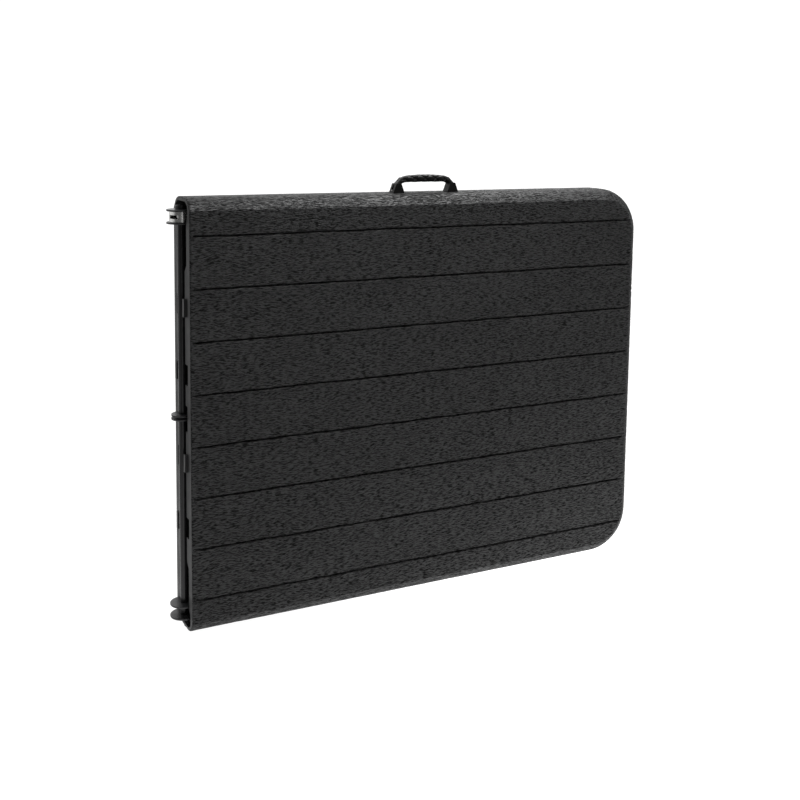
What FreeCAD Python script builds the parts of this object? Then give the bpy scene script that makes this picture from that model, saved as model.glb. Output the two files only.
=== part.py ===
import FreeCAD, Part
import math
import os

# Fold-in-half banquet table, closed and standing on one long edge.
# X runs along the table from the fold end (-X) to the outer end (+X), Y is the
# folded thickness with the parting plane of the two halves at Y = 0, Z is up.
# The near half lies on the -Y side. The far half is the same set of parts,
# turned half a turn about the X axis at mid height.

V = FreeCAD.Vector

# ---- driving dimensions, millimetres --------------------------------------
HALF_LENGTH = 922.0        # fold end to outer end of one half
WIDTH = 740.0              # table width, which is the height when it stands closed
HALF_THICK = 47.0          # one half, from its table surface to the parting plane
SKIN_THICK = 20.0          # double-wall slab behind the table surface
EDGE_DEPTH = 30.0          # depth of the edge band, a rounding and a bevel
EDGE_R = 28.0              # rounding beside the parting plane's flat strip
EDGE_TURN = math.radians(52.0)     # where the rounding runs into the bevel
CORNER_R = 85.0            # outer corners in plan
RIM_WIDTH = 28.0           # rim that surrounds the leg pocket
POCKET_R = 45.0            # inner corners of the pocket
FOLD_GAP = 0.4             # each half stops this far short of the fold plane

PLANK_PITCH = 88.0
GROOVE_COUNT = 8
GROOVE_WIDTH = 3.6
GROOVE_DEPTH = 2.2
GROOVE_FOLD_INSET = 7.0
GROOVE_OUTER_INSET = 28.0

LIP_DEPTH = 30.0           # raised lip along the fold end, from the table surface
LIP_LENGTH = 25.0
LIP_HALF_SPAN = 248.0
LIP_RAMP = 10.0
HINGE_NOTCH_HALF = 22.0    # gap in the lip for the middle hinge
END_HOLLOW_LENGTH = 62.0   # the rim is hollow here, round the end hinges
END_WALL = 6.5
TAB_OFFSETS = (188.0, -75.0)
SLOT_OFFSETS = (75.0, -188.0)
TAB_HALF = 15.0
TAB_REACH = 9.0
SLOT_HALF = 17.5
SLOT_REACH = 14.0

ROD_R = 6.75
ROD_END = 13.0             # rod end, from either long edge
RUN_FIT = 0.05             # radial clearance of every turning fit
DISC_R = 24.0
DISC_THICK = 3.0
DISC_OUTER_Z = 22.0        # from a long edge to the middle of the outer end disc
DISC_INNER_Z = 43.0        # and of the inner end disc
MID_DISC_R = 19.0
MID_DISC_OFFSET = 3.0      # middle discs, either side of mid height
COLLAR_R = 10.0
COLLAR_HEIGHT = 6.0

RAIL_EDGE = 36.0           # long edge to the rail's outer wall
RAIL_WIDTH = 20.0
RAIL_DEPTH = 16.0
RAIL_WALL = 1.5
RAIL_START = 58.0
RAIL_END = 866.0
PLUG_LENGTH = 26.0

LEG_LENGTH = 690.0
LEG_DEPTH = 13.5           # leg plane, from the parting plane
POST_R = 10.5
FLOOR_BAR_R = 11.0
FLOOR_BAR_OVERHANG = 14.0   # floor bar past the posts
PIVOT_TUBE_R = 9.0
STRETCHER_R = 8.0
TUBE_WALL = 1.5
STRETCHER_FROM_PIVOT = 60.0
STUB_R = 6.0
BRACKET_WIDTH = 14.0
FOOT_CAP_R = 12.6

BRACE_SPAN = 330.0         # leg pivot to brace anchor
BRACE_PIN_FROM_PIVOT = 300.0
BRACE_UPPER = 208.0
BRACE_LOWER = 238.0
LINK_WIDTH = 15.0
LINK_THICK = 4.0
LINK_GAP = 2.0
PIN_R = 3.0
PIN_HEAD_R = 5.0
PIN_HEAD = 1.6
ELBOW_PLAY = 0.8           # radial play at the elbow, the opened pivot of the brace

HANDLE_X = 0.0
HANDLE_LENGTH = 136.0
HANDLE_HEIGHT = 32.5
HANDLE_Y = -11.5
GRIP_HALF = 57.0
GRIP_THICK = 14.5
GRIP_WIDTH = 20.0
STRAP_REACH = 59.5
STRAP_WIDTH = 12.0
FOOT_BASE = 25.0
FOOT_TOP = 10.0
FOOT_HEIGHT = 16.5
FOOT_WIDTH = 18.0
FOOT_SCREW_INSET = 4.4

SCREW_R = 2.0
SCREW_HEAD_R = 4.0
SCREW_HEAD = 2.0
SCREW_LENGTH = 12.0

# ---- places worked out from them ------------------------------------------
FOLD_X = -(HALF_LENGTH - DISC_R) / 2.0
OUTER_X = FOLD_X + HALF_LENGTH
MID_Z = WIDTH / 2.0
SLAB_Y = SKIN_THICK - HALF_THICK
LIP_Y = LIP_DEPTH - HALF_THICK
EDGE_Y = EDGE_DEPTH - HALF_THICK
ROUND_DEPTH = EDGE_R * math.sin(EDGE_TURN)
ROUND_DROP = EDGE_R * (1.0 - math.cos(EDGE_TURN))
EDGE_DROP = ROUND_DROP + (EDGE_DEPTH - ROUND_DEPTH) * math.tan(EDGE_TURN)
LEG_Y = -LEG_DEPTH


class LegPlan:
    """Where one half's leg set lies; the two sets nest inside each other."""

    def __init__(self, pivot, post_offset, brace_side):
        self.pivot_x = FOLD_X + pivot
        self.foot_x = self.pivot_x - LEG_LENGTH
        self.post_offset = post_offset
        self.brace_side = brace_side


NEAR_LEG = LegPlan(795.0, 268.0, 1.0)
FAR_LEG = LegPlan(830.0, 238.0, -1.0)


# ---- small shape helpers ---------------------------------------------------
def box(x0, x1, y0, y1, z0, z1):
    return Part.makeBox(x1 - x0, y1 - y0, z1 - z0, V(x0, y0, z0))


def rod_z(x, y, z0, z1, radius):
    return Part.makeCylinder(radius, z1 - z0, V(x, y, z0), V(0, 0, 1))


def rod_x(x0, x1, y, z, radius):
    return Part.makeCylinder(radius, x1 - x0, V(x0, y, z), V(1, 0, 0))


def rod_y(x, y0, y1, z, radius):
    return Part.makeCylinder(radius, y1 - y0, V(x, y0, z), V(0, 1, 0))


def prism(points, direction):
    """Flat outline, closed through its points and pushed along a vector."""
    wire = Part.makePolygon(list(points) + [points[0]])
    return Part.Face(wire).extrude(direction)


def fuse_all(shapes):
    return shapes[0].multiFuse(shapes[1:]).removeSplitter()


def group(shapes):
    return Part.makeCompound(shapes)


def both_edges(make):
    """A piece near the lower long edge and its mirror image near the upper one."""
    lower = make()
    upper = lower.mirror(V(0, 0, MID_Z), V(0, 0, 1))
    return [lower, upper]


def turned_over(shape):
    """The far half's copy of a near-half piece."""
    copy = shape.copy()
    copy.rotate(V(0, 0, MID_Z), V(1, 0, 0), 180)
    return copy


# ---- tabletop half ----------------------------------------------------------
def edge_band(drop_dir, at):
    """Rounding and bevel of the edge. at(inward, y) gives a section point."""
    mid_inward = EDGE_R * (1.0 - math.cos(EDGE_TURN / 2))
    mid_y = EDGE_Y - EDGE_R * math.sin(EDGE_TURN / 2)
    base = at(0.0, EDGE_Y)
    joint = at(ROUND_DROP, EDGE_Y - ROUND_DEPTH)
    crease = at(EDGE_DROP, -HALF_THICK)
    rounding = Part.Arc(base, at(mid_inward, mid_y), joint).toShape()
    if drop_dir < 0:
        return [rounding, line(joint, crease)]
    backwards = Part.Arc(joint, at(mid_inward, mid_y), base).toShape()
    return [line(crease, joint), backwards]


def line(a, b):
    return Part.LineSegment(a, b).toShape()


def long_section(x):
    """Whole section of a half across its width, at one X."""
    low = lambda inward, y: V(x, y, inward)
    high = lambda inward, y: V(x, y, WIDTH - inward)
    edges = [
        *edge_band(-1, low),
        line(low(EDGE_DROP, -HALF_THICK), high(EDGE_DROP, -HALF_THICK)),
        *edge_band(1, high),
        line(high(0, EDGE_Y), high(0, 0)),
        line(high(0, 0), low(0, 0)),
        line(low(0, 0), low(0, EDGE_Y)),
    ]
    return Part.Face(Part.Wire(edges))


def end_section(z):
    """Section of the outer end, from the corner axis outwards, at one Z."""
    at = lambda inward, y: V(OUTER_X - inward, y, z)
    edges = [
        line(at(CORNER_R, -HALF_THICK), at(EDGE_DROP, -HALF_THICK)),
        *edge_band(1, at),
        line(at(0, EDGE_Y), at(0, 0)),
        line(at(0, 0), at(CORNER_R, 0)),
        line(at(CORNER_R, 0), at(CORNER_R, -HALF_THICK)),
    ]
    return Part.Face(Part.Wire(edges))


def outer_body():
    """The closed outer form with rounded long edges, outer end and corners."""
    start_x = FOLD_X + FOLD_GAP
    main = long_section(start_x).extrude(V(OUTER_X - CORNER_R - start_x, 0, 0))
    end = end_section(CORNER_R).extrude(V(0, 0, WIDTH - 2 * CORNER_R))
    corner_x = OUTER_X - CORNER_R
    corners = []
    for z, turn in ((CORNER_R, 90), (WIDTH - CORNER_R, -90)):
        axis = V(corner_x, 0, z)
        corners.append(end_section(z).revolve(axis, V(0, 1, 0), turn))
    return fuse_all([main, end] + corners)


def leg_pocket():
    """Space behind the slab, open to the parting plane and the fold end."""
    end_x = OUTER_X - RIM_WIDTH
    pocket = box(FOLD_X - 1, end_x, SLAB_Y, 1, RIM_WIDTH, WIDTH - RIM_WIDTH)
    corners = [e for e in pocket.Edges
               if abs(e.BoundBox.XMin - end_x) < 0.01
               and e.BoundBox.XLength < 0.01
               and e.BoundBox.ZLength < 0.01]
    return pocket.makeFillet(POCKET_R, corners)


def end_hollow():
    """Hollow inside the rim beside the end hinge, an even wall from outside."""
    inner_r = EDGE_R - END_WALL
    centre_z = EDGE_R
    at = lambda angle: V(FOLD_X - 1,
                         EDGE_Y - inner_r * math.sin(angle),
                         centre_z - inner_r * math.cos(angle))
    foot = at(EDGE_TURN)
    top_z = RIM_WIDTH + 20.0
    edges = [
        Part.Arc(at(0), at(EDGE_TURN / 2), foot).toShape(),
        line(foot, V(FOLD_X - 1, foot.y, RIM_WIDTH)),
        line(V(FOLD_X - 1, foot.y, RIM_WIDTH), V(FOLD_X - 1, SLAB_Y, top_z)),
        line(V(FOLD_X - 1, SLAB_Y, top_z), V(FOLD_X - 1, 1, top_z)),
        line(V(FOLD_X - 1, 1, top_z), V(FOLD_X - 1, 1, END_WALL)),
        line(V(FOLD_X - 1, 1, END_WALL), at(0)),
    ]
    return Part.Face(Part.Wire(edges)).extrude(V(END_HOLLOW_LENGTH, 0, 0))


def fold_lip():
    """Deeper lip along the middle of the fold end, with a ramp at each end."""
    x0 = FOLD_X + FOLD_GAP
    lip = prism([V(x0, SLAB_Y, MID_Z - LIP_HALF_SPAN - LIP_RAMP),
                 V(x0, LIP_Y, MID_Z - LIP_HALF_SPAN),
                 V(x0, LIP_Y, MID_Z + LIP_HALF_SPAN),
                 V(x0, SLAB_Y, MID_Z + LIP_HALF_SPAN + LIP_RAMP)],
                V(LIP_LENGTH, 0, 0))
    notch = box(x0 - 1, x0 + LIP_LENGTH + 1, SLAB_Y, LIP_Y + 1,
                MID_Z - HINGE_NOTCH_HALF, MID_Z + HINGE_NOTCH_HALF)
    return lip.cut(notch)


def fold_tabs():
    """Tabs that stand out past the fold end into the other half's slots."""
    return [box(FOLD_X - TAB_REACH, FOLD_X + LIP_LENGTH, SLAB_Y - 0.5, LIP_Y - 2,
                MID_Z + offset - TAB_HALF, MID_Z + offset + TAB_HALF)
            for offset in TAB_OFFSETS]


def fold_slots():
    return [box(FOLD_X - 1, FOLD_X + SLOT_REACH, SLAB_Y - 4, LIP_Y + 1,
                MID_Z + offset - SLOT_HALF, MID_Z + offset + SLOT_HALF)
            for offset in SLOT_OFFSETS]


def plank_grooves():
    """Shallow V grooves that divide the table surface into planks."""
    grooves = []
    half = GROOVE_WIDTH / 2.0
    x0 = FOLD_X + GROOVE_FOLD_INSET
    reach = V(HALF_LENGTH - GROOVE_FOLD_INSET - GROOVE_OUTER_INSET, 0, 0)
    for index in range(GROOVE_COUNT):
        z = MID_Z + PLANK_PITCH * (index - (GROOVE_COUNT - 1) / 2.0)
        points = [V(x0, -HALF_THICK - 0.1, z - half),
                  V(x0, -HALF_THICK + GROOVE_DEPTH, z),
                  V(x0, -HALF_THICK - 0.1, z + half)]
        grooves.append(prism(points, reach))
    return grooves


def tabletop():
    shell = outer_body().cut(leg_pocket())
    shell = shell.cut(group(both_edges(end_hollow)))
    shell = shell.fuse(fold_lip()).fuse(group(fold_tabs()))
    shell = shell.cut(group(fold_slots()))
    shell = shell.cut(group(plank_grooves()))
    return shell.removeSplitter()


# ---- side rails --------------------------------------------------------------
def side_rail():
    x0 = FOLD_X + RAIL_START
    x1 = FOLD_X + RAIL_END
    z1 = RAIL_EDGE + RAIL_WIDTH
    outer = box(x0, x1, SLAB_Y, SLAB_Y + RAIL_DEPTH, RAIL_EDGE, z1)
    inner = box(x0 - 1, x1 + 1, SLAB_Y + RAIL_WALL, SLAB_Y + RAIL_DEPTH - RAIL_WALL,
                RAIL_EDGE + RAIL_WALL, z1 - RAIL_WALL)
    return outer.cut(inner)


def rail_plug(x0, x1):
    return box(x0, x1, SLAB_Y + RAIL_WALL, SLAB_Y + RAIL_DEPTH - RAIL_WALL,
               RAIL_EDGE + RAIL_WALL, RAIL_EDGE + RAIL_WIDTH - RAIL_WALL)


def rail_end_cap():
    x1 = FOLD_X + RAIL_END
    cap = box(x1, x1 + 2.5, SLAB_Y, SLAB_Y + RAIL_DEPTH,
              RAIL_EDGE, RAIL_EDGE + RAIL_WIDTH)
    return cap.fuse(rail_plug(x1 - 12, x1)).removeSplitter()


def screw_into_slab(x, y, z):
    """Screw whose head rests on a surface at y and whose shank enters the slab."""
    head = rod_y(x, y, y + SCREW_HEAD, z, SCREW_HEAD_R)
    return head.fuse(rod_y(x, y - SCREW_LENGTH, y, z, SCREW_R))


# ---- hinge -------------------------------------------------------------------
def end_leaf(disc_z):
    """Round hinge plate, its arm, and the plug that fills the rail's end."""
    z0 = disc_z - DISC_THICK / 2.0
    z1 = disc_z + DISC_THICK / 2.0
    arm_y0 = -20.0
    arm_y1 = -RAIL_DEPTH / 2.0 - 4.5
    rail_x = FOLD_X + RAIL_START
    web_low = min(z0, RAIL_EDGE + RAIL_WALL)
    web_high = max(z1, RAIL_EDGE + RAIL_WIDTH - RAIL_WALL)
    leaf = fuse_all([
        rod_z(FOLD_X, 0, z0, z1, DISC_R),
        box(FOLD_X + 8, rail_x, arm_y0, arm_y1, z0, z1),
        box(rail_x - 9, rail_x, arm_y0, arm_y1, web_low, web_high),
        rail_plug(rail_x, rail_x + PLUG_LENGTH),
    ])
    return leaf


def end_leaves():
    """A half's two end hinge plates, bored for the rod."""
    lower = end_leaf(DISC_INNER_Z)
    upper = end_leaf(DISC_OUTER_Z).mirror(V(0, 0, MID_Z), V(0, 0, 1))
    bore = rod_z(FOLD_X, 0, 0, WIDTH, ROD_R + RUN_FIT)
    return group([lower.cut(bore), upper.cut(bore)])


def middle_leaf():
    """Small round plate half way up, with an arm and a foot on the slab."""
    z0 = MID_Z + MID_DISC_OFFSET - DISC_THICK / 2.0
    z1 = z0 + DISC_THICK
    leaf = fuse_all([
        rod_z(FOLD_X, 0, z0, z1, MID_DISC_R),
        box(FOLD_X + 6, FOLD_X + 60, SLAB_Y, -9.0, z0, z1),
        box(FOLD_X + 20, FOLD_X + 60, SLAB_Y, SLAB_Y + DISC_THICK, z0 - 14, z1 + 12),
    ])
    return leaf.cut(rod_z(FOLD_X, 0, 0, WIDTH, ROD_R + RUN_FIT))


def hinge_rod():
    return rod_z(FOLD_X, 0, ROD_END, WIDTH - ROD_END, ROD_R)


def rod_collars():
    """Push-on collars that keep the rod in the outer discs."""
    low = DISC_OUTER_Z - DISC_THICK / 2.0 - 0.3
    collar = rod_z(FOLD_X, 0, low - COLLAR_HEIGHT, low, COLLAR_R)
    collar = collar.cut(rod_z(FOLD_X, 0, 0, MID_Z, ROD_R))
    return group([collar, collar.mirror(V(0, 0, MID_Z), V(0, 0, 1))])


def hinge_bracket():
    """Plated strap bent round the rod between a pair of end discs."""
    z0 = DISC_OUTER_Z + DISC_THICK / 2.0 + 0.4
    z1 = DISC_INNER_Z - DISC_THICK / 2.0 - 0.4
    wall = 2.0
    nose = 19.5
    tail = 17.0

    def slab_form(radius):
        round_part = rod_z(FOLD_X, 0, z0, z1, radius)
        flat_part = box(FOLD_X, FOLD_X + tail, -radius, radius, z0, z1)
        return round_part.fuse(flat_part).removeSplitter()

    strap = slab_form(nose).cut(slab_form(nose - wall))
    strap = strap.cut(box(FOLD_X, FOLD_X + tail + 1, 0, nose + 1, z0 - 1, z1 + 1))
    web = box(FOLD_X + tail - wall, FOLD_X + tail, -nose, -ROD_R - 1.5, z0, z1)
    sleeve = rod_z(FOLD_X, 0, z0, z1, ROD_R + 2.2)
    arm = box(FOLD_X + 3, FOLD_X + tail, -ROD_R - 2.0, -ROD_R, z0, z1)
    strap = fuse_all([strap, web, sleeve, arm])
    strap = strap.cut(rod_z(FOLD_X, 0, z0 - 1, z1 + 1, ROD_R))
    slot_z = (z0 + z1) / 2.0
    slot = box(-9.0, 9.0, -nose - 3, -nose + 5, slot_z - 3, slot_z + 3)
    slot.translate(V(FOLD_X, 0, 0))
    slot.rotate(V(FOLD_X, 0, 0), V(0, 0, 1), -55)
    strap = strap.cut(slot)
    return strap.mirror(V(0, 0, MID_Z), V(0, 0, 1))


# ---- leg set -----------------------------------------------------------------
def hollow_rod_z(x, z0, z1, radius):
    tube = rod_z(x, LEG_Y, z0, z1, radius)
    return tube.cut(rod_z(x, LEG_Y, z0 - 1, z1 + 1, radius - TUBE_WALL))


def floor_bar(plan):
    reach = plan.post_offset + FLOOR_BAR_OVERHANG
    return hollow_rod_z(plan.foot_x, MID_Z - reach, MID_Z + reach, FLOOR_BAR_R)


def foot_caps(plan):
    end_z = MID_Z - plan.post_offset - FLOOR_BAR_OVERHANG
    x = plan.foot_x
    cap = rod_z(x, LEG_Y, end_z - 5.0, end_z, FOOT_CAP_R)
    plug = rod_z(x, LEG_Y, end_z, end_z + 9.0, FLOOR_BAR_R - TUBE_WALL)
    cap = cap.fuse(plug).removeSplitter()
    return group([cap, cap.mirror(V(0, 0, MID_Z), V(0, 0, 1))])


def leg_posts(plan):
    """Two straight tubes, coped where they meet the bars at their ends."""
    x0 = plan.foot_x
    x1 = plan.pivot_x
    ends = [rod_z(x0, LEG_Y, 0, WIDTH, FLOOR_BAR_R),
            rod_z(x1, LEG_Y, 0, WIDTH, PIVOT_TUBE_R)]
    z = MID_Z - plan.post_offset
    tube = rod_x(x0, x1, LEG_Y, z, POST_R)
    tube = tube.cut(rod_x(x0 - 1, x1 + 1, LEG_Y, z, POST_R - TUBE_WALL))
    tube = tube.cut(group(ends))
    post = max(tube.Solids, key=lambda solid: solid.Volume)
    return group([post, post.mirror(V(0, 0, MID_Z), V(0, 0, 1))])


def pivot_tube(plan):
    """Tube that the leg set turns on, with a stub at each end."""
    reach = plan.post_offset + 12.0
    z0 = MID_Z - reach
    z1 = MID_Z + reach
    tube = hollow_rod_z(plan.pivot_x, z0, z1, PIVOT_TUBE_R)
    stub = rod_z(plan.pivot_x, LEG_Y, z0 - BRACKET_WIDTH, z0 + 10, STUB_R)
    boss = rod_z(plan.pivot_x, LEG_Y, z0, z0 + 10, PIVOT_TUBE_R - TUBE_WALL)
    stub = stub.fuse(boss)
    return fuse_all([tube, stub, stub.mirror(V(0, 0, MID_Z), V(0, 0, 1))])


def stretcher(plan):
    x = plan.pivot_x - STRETCHER_FROM_PIVOT
    inner = plan.post_offset - POST_R - 0.05
    return hollow_rod_z(x, MID_Z - inner, MID_Z + inner, STRETCHER_R)


def pivot_bracket(plan):
    """Saddle on the slab that carries one stub of the pivot tube."""
    x = plan.pivot_x
    z1 = MID_Z - plan.post_offset - 12.5
    z0 = z1 - BRACKET_WIDTH + 2.0
    saddle = fuse_all([
        box(x - 12, x + 12, SLAB_Y, LEG_Y, z0, z1),
        rod_z(x, LEG_Y, z0, z1, 11.0),
        box(x - 30, x + 30, SLAB_Y, SLAB_Y + 3, z0, z1),
    ])
    return saddle.cut(rod_z(x, LEG_Y, z0 - 1, z1 + 1, STUB_R + RUN_FIT))


def bracket_screw_places(plan):
    z = MID_Z - plan.post_offset - 12.5 - BRACKET_WIDTH / 2.0 + 1.0
    return [(plan.pivot_x + dx, SLAB_Y + 3, z) for dx in (-22, 22)]


# ---- folding braces ------------------------------------------------------------
class BraceStack:
    """Z of the first faces of the brace's layers, counted away from the post."""

    def __init__(self, plan):
        self.away = -plan.brace_side
        layer = self.away * (LINK_THICK + LINK_GAP)
        post_face = MID_Z - plan.post_offset + self.away * POST_R
        self.lower = post_face + self.away * LINK_GAP
        self.upper = self.lower + layer
        self.anchor = self.upper + layer


def between(z_a, z_b):
    return min(z_a, z_b), max(z_a, z_b)


def link(x0, x1, face_z, away, holes):
    """Flat bar with round ends; holes lists (x, radius)."""
    z0, z1 = between(face_z, face_z + away * LINK_THICK)
    half = LINK_WIDTH / 2.0
    bar = fuse_all([box(x0, x1, LEG_Y - half, LEG_Y + half, z0, z1),
                    rod_z(x0, LEG_Y, z0, z1, half),
                    rod_z(x1, LEG_Y, z0, z1, half)])
    for x, radius in holes:
        bar = bar.cut(rod_z(x, LEG_Y, z0 - 1, z1 + 1, radius))
    return bar


def brace_upper_link(plan):
    stack = BraceStack(plan)
    x1 = plan.pivot_x - BRACE_SPAN
    x0 = x1 - BRACE_UPPER
    return link(x0, x1, stack.upper, stack.away, [(x1, PIN_R + RUN_FIT), (x0, PIN_R)])


def brace_lower_link(plan):
    stack = BraceStack(plan)
    x1 = plan.pivot_x - BRACE_PIN_FROM_PIVOT
    x0 = x1 - BRACE_LOWER
    return link(x0, x1, stack.lower, stack.away, [(x1, PIN_R + RUN_FIT), (x0, PIN_R + ELBOW_PLAY)])


def brace_anchor(plan):
    """Angle bracket on the slab with an ear for the brace's fixed pivot."""
    stack = BraceStack(plan)
    x = plan.pivot_x - BRACE_SPAN
    z0, z1 = between(stack.anchor, stack.anchor + stack.away * 3.0)
    ear = box(x - 10, x + 10, SLAB_Y, LEG_Y + 7, z0, z1)
    f0, f1 = between(stack.anchor, stack.anchor + stack.away * 13.0)
    flange = box(x - 28, x + 28, SLAB_Y, SLAB_Y + 2.5, f0, f1)
    bracket = ear.fuse(flange).removeSplitter()
    return bracket.cut(rod_z(x, LEG_Y, z0 - 1, z1 + 1, PIN_R))


def anchor_screw_places(plan):
    stack = BraceStack(plan)
    x = plan.pivot_x - BRACE_SPAN
    return [(x + dx, SLAB_Y + 2.5, stack.anchor + stack.away * 8.0) for dx in (-20, 20)]


def rivet(x, start_z, end_z, head_at_end):
    """Pin from start to end with one head, past its end or before its start."""
    z0, z1 = between(start_z, end_z)
    pin = rod_z(x, LEG_Y, z0, z1, PIN_R)
    place = end_z if head_at_end else start_z
    away = 1 if end_z > start_z else -1
    direction = away if head_at_end else -away
    h0, h1 = between(place, place + direction * PIN_HEAD)
    return pin.fuse(rod_z(x, LEG_Y, h0, h1, PIN_HEAD_R)).removeSplitter()


def anchor_rivet(plan):
    stack = BraceStack(plan)
    start_z = stack.upper - stack.away * 0.1
    end_z = stack.anchor + stack.away * 3.0
    return rivet(plan.pivot_x - BRACE_SPAN, start_z, end_z, True)


def elbow_rivet(plan):
    stack = BraceStack(plan)
    x = plan.pivot_x - BRACE_SPAN - BRACE_UPPER
    return rivet(x, stack.lower, stack.upper + stack.away * LINK_THICK, True)


def leg_rivet(plan):
    stack = BraceStack(plan)
    x = plan.pivot_x - BRACE_PIN_FROM_PIVOT
    head = stack.lower + stack.away * (LINK_THICK + 0.2)
    pin = rod_z(x, LEG_Y, *between(stack.lower - stack.away * LINK_GAP, head), PIN_R)
    disc = rod_z(x, LEG_Y, *between(head, head + stack.away * 1.2), PIN_HEAD_R - 0.6)
    return pin.fuse(disc).removeSplitter()


# ---- carry handle ----------------------------------------------------------------
def arched_outline(half, shoulder, ends, y):
    """Symmetric side view between two arcs.

    half and shoulder are the X of the ends and of the shoulders. ends holds the
    heights over the edge: arc top, shoulder, end top, end bottom, arc bottom.
    """
    crown, shoulder_top, end_top, end_low, belly = [WIDTH + height for height in ends]
    at = lambda x, z: V(HANDLE_X + x, y, z)
    edges = [
        line(at(-half, end_low), at(-half, end_top)),
        line(at(-half, end_top), at(-shoulder, shoulder_top)),
        Part.Arc(at(-shoulder, shoulder_top), at(0, crown), at(shoulder, shoulder_top)).toShape(),
        line(at(shoulder, shoulder_top), at(half, end_top)),
        line(at(half, end_top), at(half, end_low)),
        Part.Arc(at(half, end_low), at(0, belly), at(-half, end_low)).toShape(),
    ]
    return Part.Face(Part.Wire(edges))


def handle_strap():
    """Flexible strap that runs through the grip and down into both feet."""
    y0 = HANDLE_Y - STRAP_WIDTH / 2.0
    half = STRAP_REACH
    outer = arched_outline(half, half - 11.0, (28.5, 27.0, 16.0, 5.0, 5.5), y0)
    inner = arched_outline(half - 5.5, half - 14.0, (23.0, 21.5, 15.0, 3.0, 3.5), y0)
    reach = V(0, STRAP_WIDTH, 0)
    return outer.extrude(reach).cut(inner.extrude(reach))


def handle_grip():
    """Thick sleeve over the strap's middle."""
    y0 = HANDLE_Y - GRIP_WIDTH / 2.0
    ends = (HANDLE_HEIGHT, HANDLE_HEIGHT - 2.0, 21.5, 17.5, HANDLE_HEIGHT - GRIP_THICK)
    grip = arched_outline(GRIP_HALF, GRIP_HALF - 12.0, ends, y0)
    grip = grip.extrude(V(0, GRIP_WIDTH, 0))
    solids = grip.cut(handle_strap()).Solids
    return max(solids, key=lambda solid: solid.Volume)


def foot_block(side):
    """Tapered foot under one end of the strap, shaped to the rounded edge."""
    x = HANDLE_X + side * (HANDLE_LENGTH / 2.0 - FOOT_BASE / 2.0)
    y0 = HANDLE_Y - FOOT_WIDTH / 2.0
    points = [V(x - FOOT_BASE / 2, y0, WIDTH - 3),
              V(x + FOOT_BASE / 2, y0, WIDTH - 3),
              V(x + FOOT_TOP / 2, y0, WIDTH + FOOT_HEIGHT),
              V(x - FOOT_TOP / 2, y0, WIDTH + FOOT_HEIGHT)]
    return prism(points, V(0, FOOT_WIDTH, 0))


def handle_screw(side):
    x = HANDLE_X + side * (HANDLE_LENGTH / 2.0 - FOOT_SCREW_INSET)
    head_z = WIDTH + 3.0
    shank = rod_z(x, HANDLE_Y, WIDTH - 14, head_z, SCREW_R)
    head = rod_z(x, HANDLE_Y, head_z, head_z + SCREW_HEAD, SCREW_HEAD_R - 1.0)
    return shank.fuse(head).removeSplitter()


def handle_foot(side, surface, strap):
    x = HANDLE_X + side * (HANDLE_LENGTH / 2.0 - FOOT_SCREW_INSET)
    foot = foot_block(side).cut(surface).cut(strap)
    foot = foot.cut(rod_z(x, HANDLE_Y, WIDTH - 5, WIDTH + FOOT_HEIGHT, SCREW_R))
    sink = rod_z(x, HANDLE_Y, WIDTH + 3, WIDTH + FOOT_HEIGHT, SCREW_HEAD_R - 1.0)
    return foot.cut(sink)


# ---- assembly --------------------------------------------------------------------
def slab_screws(places):
    """Screws at the given places and at their mirror images."""
    low = [screw_into_slab(*place) for place in places]
    high = [screw.mirror(V(0, 0, MID_Z), V(0, 0, 1)) for screw in low]
    return low + high


def rail_screw_places():
    z = RAIL_EDGE + RAIL_WIDTH / 2.0
    return [(FOLD_X + along, SLAB_Y + RAIL_DEPTH, z) for along in (150, 400, 650, 850)]


def rail_screw(place):
    x, y, z = place
    head = rod_y(x, y, y + SCREW_HEAD, z, SCREW_HEAD_R)
    return head.fuse(rod_y(x, y - RAIL_DEPTH - 8, y, z, SCREW_R))


def half_parts(plan):
    """Every piece of one half, modelled in the near half's place."""
    rail_screws = [rail_screw(place) for place in rail_screw_places()]
    upper_screws = [s.mirror(V(0, 0, MID_Z), V(0, 0, 1)) for s in rail_screws]
    pieces = {
        "tabletop": tabletop(),
        "side_rails": group(both_edges(side_rail)),
        "rail_end_caps": group(both_edges(rail_end_cap)),
        "rail_screws": group(rail_screws + upper_screws),
        "end_hinge_plates": end_leaves(),
        "middle_hinge_plate": middle_leaf(),
        "leg_posts": leg_posts(plan),
        "leg_floor_bar": floor_bar(plan),
        "leg_foot_caps": foot_caps(plan),
        "leg_pivot_tube": pivot_tube(plan),
        "leg_stretcher": stretcher(plan),
        "leg_pivot_brackets": group(both_edges(lambda: pivot_bracket(plan))),
        "bracket_screws": group(slab_screws(bracket_screw_places(plan))),
        "brace_upper_links": group(both_edges(lambda: brace_upper_link(plan))),
        "brace_lower_links": group(both_edges(lambda: brace_lower_link(plan))),
        "brace_anchors": group(both_edges(lambda: brace_anchor(plan))),
        "anchor_screws": group(slab_screws(anchor_screw_places(plan))),
        "anchor_rivets": group(both_edges(lambda: anchor_rivet(plan))),
        "elbow_rivets": group(both_edges(lambda: elbow_rivet(plan))),
        "leg_rivets": group(both_edges(lambda: leg_rivet(plan))),
    }
    return drill_screw_holes(pieces)


def drill_screw_holes(pieces):
    """Cut every screw's own space out of what it passes through."""
    drilled = {
        "tabletop": ("rail_screws", "bracket_screws", "anchor_screws"),
        "side_rails": ("rail_screws",),
        "leg_pivot_brackets": ("bracket_screws",),
        "brace_anchors": ("anchor_screws",),
    }
    for name, screws in drilled.items():
        for screw_name in screws:
            pieces[name] = pieces[name].cut(pieces[screw_name])
    return pieces


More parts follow.
